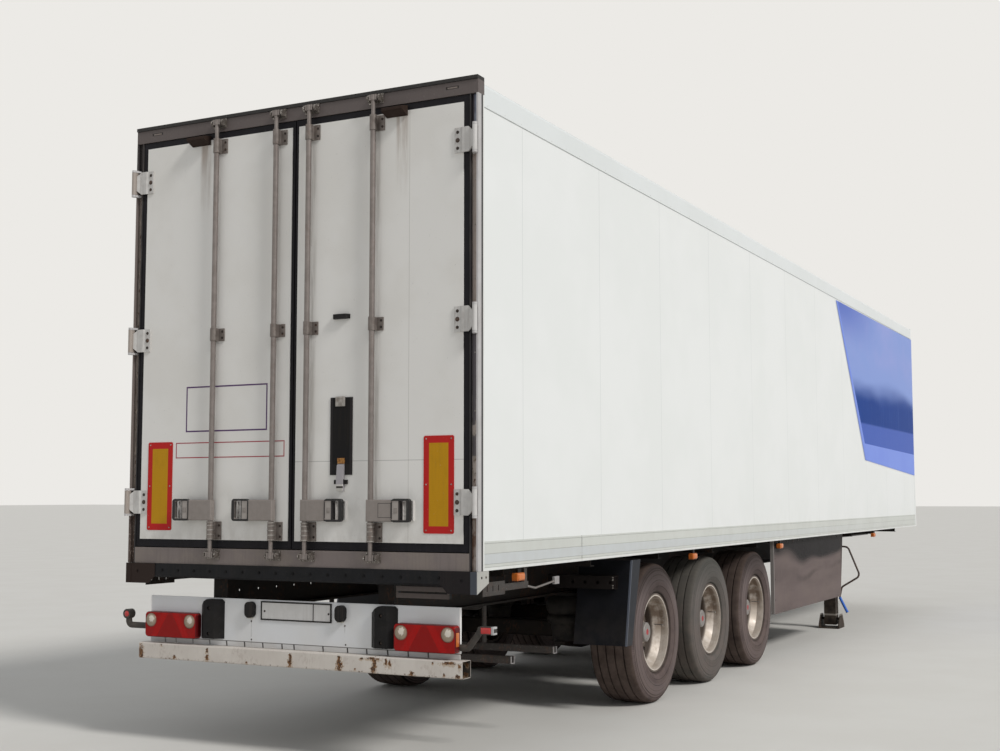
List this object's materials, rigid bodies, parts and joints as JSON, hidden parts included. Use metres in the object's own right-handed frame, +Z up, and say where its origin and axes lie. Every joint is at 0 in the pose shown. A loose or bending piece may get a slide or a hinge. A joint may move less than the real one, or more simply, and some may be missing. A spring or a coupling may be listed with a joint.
{
  "type": "refrigerated box semi trailer",
  "caption": "White insulated box semi trailer on single-tyred axles, with hinged rear doors, lock bars, bumper board and landing legs.",
  "frame": {"origin": "on the ground under the middle of the whole trailer", "axes": "+X forward, towards the kingpin; +Y to the trailer's left; +Z up"},
  "size_m": [14.02, 2.7479, 4.036],
  "materials": {
    "body_white": "white coated panel",
    "frame_grey": "weathered grey steel",
    "floor_alloy": "worn tread floor",
    "seal_rubber": "black door seal",
    "lock_steel": "dull zinc plated steel",
    "hinge_grey": "cast hinge, light grey",
    "door_fittings": "buffers, strap and reflective plates",
    "bumper_white": "white paint with rust at the edges",
    "lamp_plastic": "red and amber lamp plastic",
    "black_rubber": "black rubber",
    "plate_plastic": "blank plate in a black frame",
    "chassis_paint": "dark chassis paint with road dirt",
    "kingpin_steel": "bare forged steel",
    "spring_rubber": "air spring rubber",
    "leg_paint": "dark paint with rust",
    "panel_gloss": "dark glossy panel",
    "unit_white": "white moulded cover",
    "tyre_rubber": "dusty tyre rubber",
    "rim_silver": "silver painted steel with brake dust"
  },
  "bodies": {
    "chassis": {"wall_left": "body_white", "wall_right": "body_white", "roof": "body_white", "front_wall": "body_white", "base_rails": "body_white", "cant_rails": "body_white", "rear_posts": "frame_grey", "rear_header": "frame_grey", "rear_sill": "frame_grey", "floor": "floor_alloy", "lock_keepers": "lock_steel", "bumper_board": "bumper_white", "underrun_bar": "bumper_white", "lamps": "lamp_plastic", "dock_buffers": "black_rubber", "marker_arms": "black_rubber", "mud_flaps": "black_rubber", "plate_holder": "plate_plastic", "rear_beam": "chassis_paint", "chassis_rails": "chassis_paint", "cross_members": "chassis_paint", "coupling_plate": "chassis_paint", "bumper_brackets": "chassis_paint", "carrier_rails": "chassis_paint", "air_tanks": "chassis_paint", "axles": "chassis_paint", "suspension_hangers": "chassis_paint", "trailing_arms": "chassis_paint", "kingpin": "kingpin_steel", "air_springs": "spring_rubber", "landing_legs": "leg_paint", "crank_handle": "leg_paint", "side_panels": "panel_gloss", "refrigeration_unit": "unit_white"},
    "door_left": {"door_left": "body_white", "door_left_seal": "seal_rubber", "door_left_lock_bars": "lock_steel", "door_left_bar_guides": "lock_steel", "door_left_lock_handles": "lock_steel", "door_left_hinge_leaves": "hinge_grey", "door_left_fittings": "door_fittings"},
    "door_right": {"door_right": "body_white", "door_right_seal": "seal_rubber", "door_right_lock_bars": "lock_steel", "door_right_bar_guides": "lock_steel", "door_right_lock_handles": "lock_steel", "door_right_hinge_leaves": "hinge_grey", "door_right_fittings": "door_fittings"},
    "wheel_1_left": {"tyre_1_left": "tyre_rubber", "wheel_1_left": "rim_silver"},
    "wheel_1_right": {"tyre_1_right": "tyre_rubber", "wheel_1_right": "rim_silver"},
    "wheel_2_left": {"tyre_2_left": "tyre_rubber", "wheel_2_left": "rim_silver"},
    "wheel_2_right": {"tyre_2_right": "tyre_rubber", "wheel_2_right": "rim_silver"},
    "wheel_3_left": {"tyre_3_left": "tyre_rubber", "wheel_3_left": "rim_silver"},
    "wheel_3_right": {"tyre_3_right": "tyre_rubber", "wheel_3_right": "rim_silver"}
  },
  "joints": [
    {"name": "door_left_hinge", "type": "hinge", "parent": "chassis", "child": "door_left", "pos_m": [-6.973, 1.294, 2.595], "axis": [0, 0, -1], "range_deg": [0, 260]},
    {"name": "door_right_hinge", "type": "hinge", "parent": "chassis", "child": "door_right", "pos_m": [-6.973, -1.294, 2.595], "axis": [0, 0, 1], "range_deg": [0, 260]},
    {"name": "wheel_1_left_spin", "type": "hinge", "parent": "chassis", "child": "wheel_1_left", "pos_m": [-3.878, 1.045, 0.53], "axis": [0, 1, 0], "continuous": true},
    {"name": "wheel_1_right_spin", "type": "hinge", "parent": "chassis", "child": "wheel_1_right", "pos_m": [-3.878, -1.045, 0.53], "axis": [0, 1, 0], "continuous": true},
    {"name": "wheel_2_left_spin", "type": "hinge", "parent": "chassis", "child": "wheel_2_left", "pos_m": [-2.568, 1.045, 0.53], "axis": [0, 1, 0], "continuous": true},
    {"name": "wheel_2_right_spin", "type": "hinge", "parent": "chassis", "child": "wheel_2_right", "pos_m": [-2.568, -1.045, 0.53], "axis": [0, 1, 0], "continuous": true},
    {"name": "wheel_3_left_spin", "type": "hinge", "parent": "chassis", "child": "wheel_3_left", "pos_m": [-1.258, 1.045, 0.53], "axis": [0, 1, 0], "continuous": true},
    {"name": "wheel_3_right_spin", "type": "hinge", "parent": "chassis", "child": "wheel_3_right", "pos_m": [-1.258, -1.045, 0.53], "axis": [0, 1, 0], "continuous": true}
  ]
}
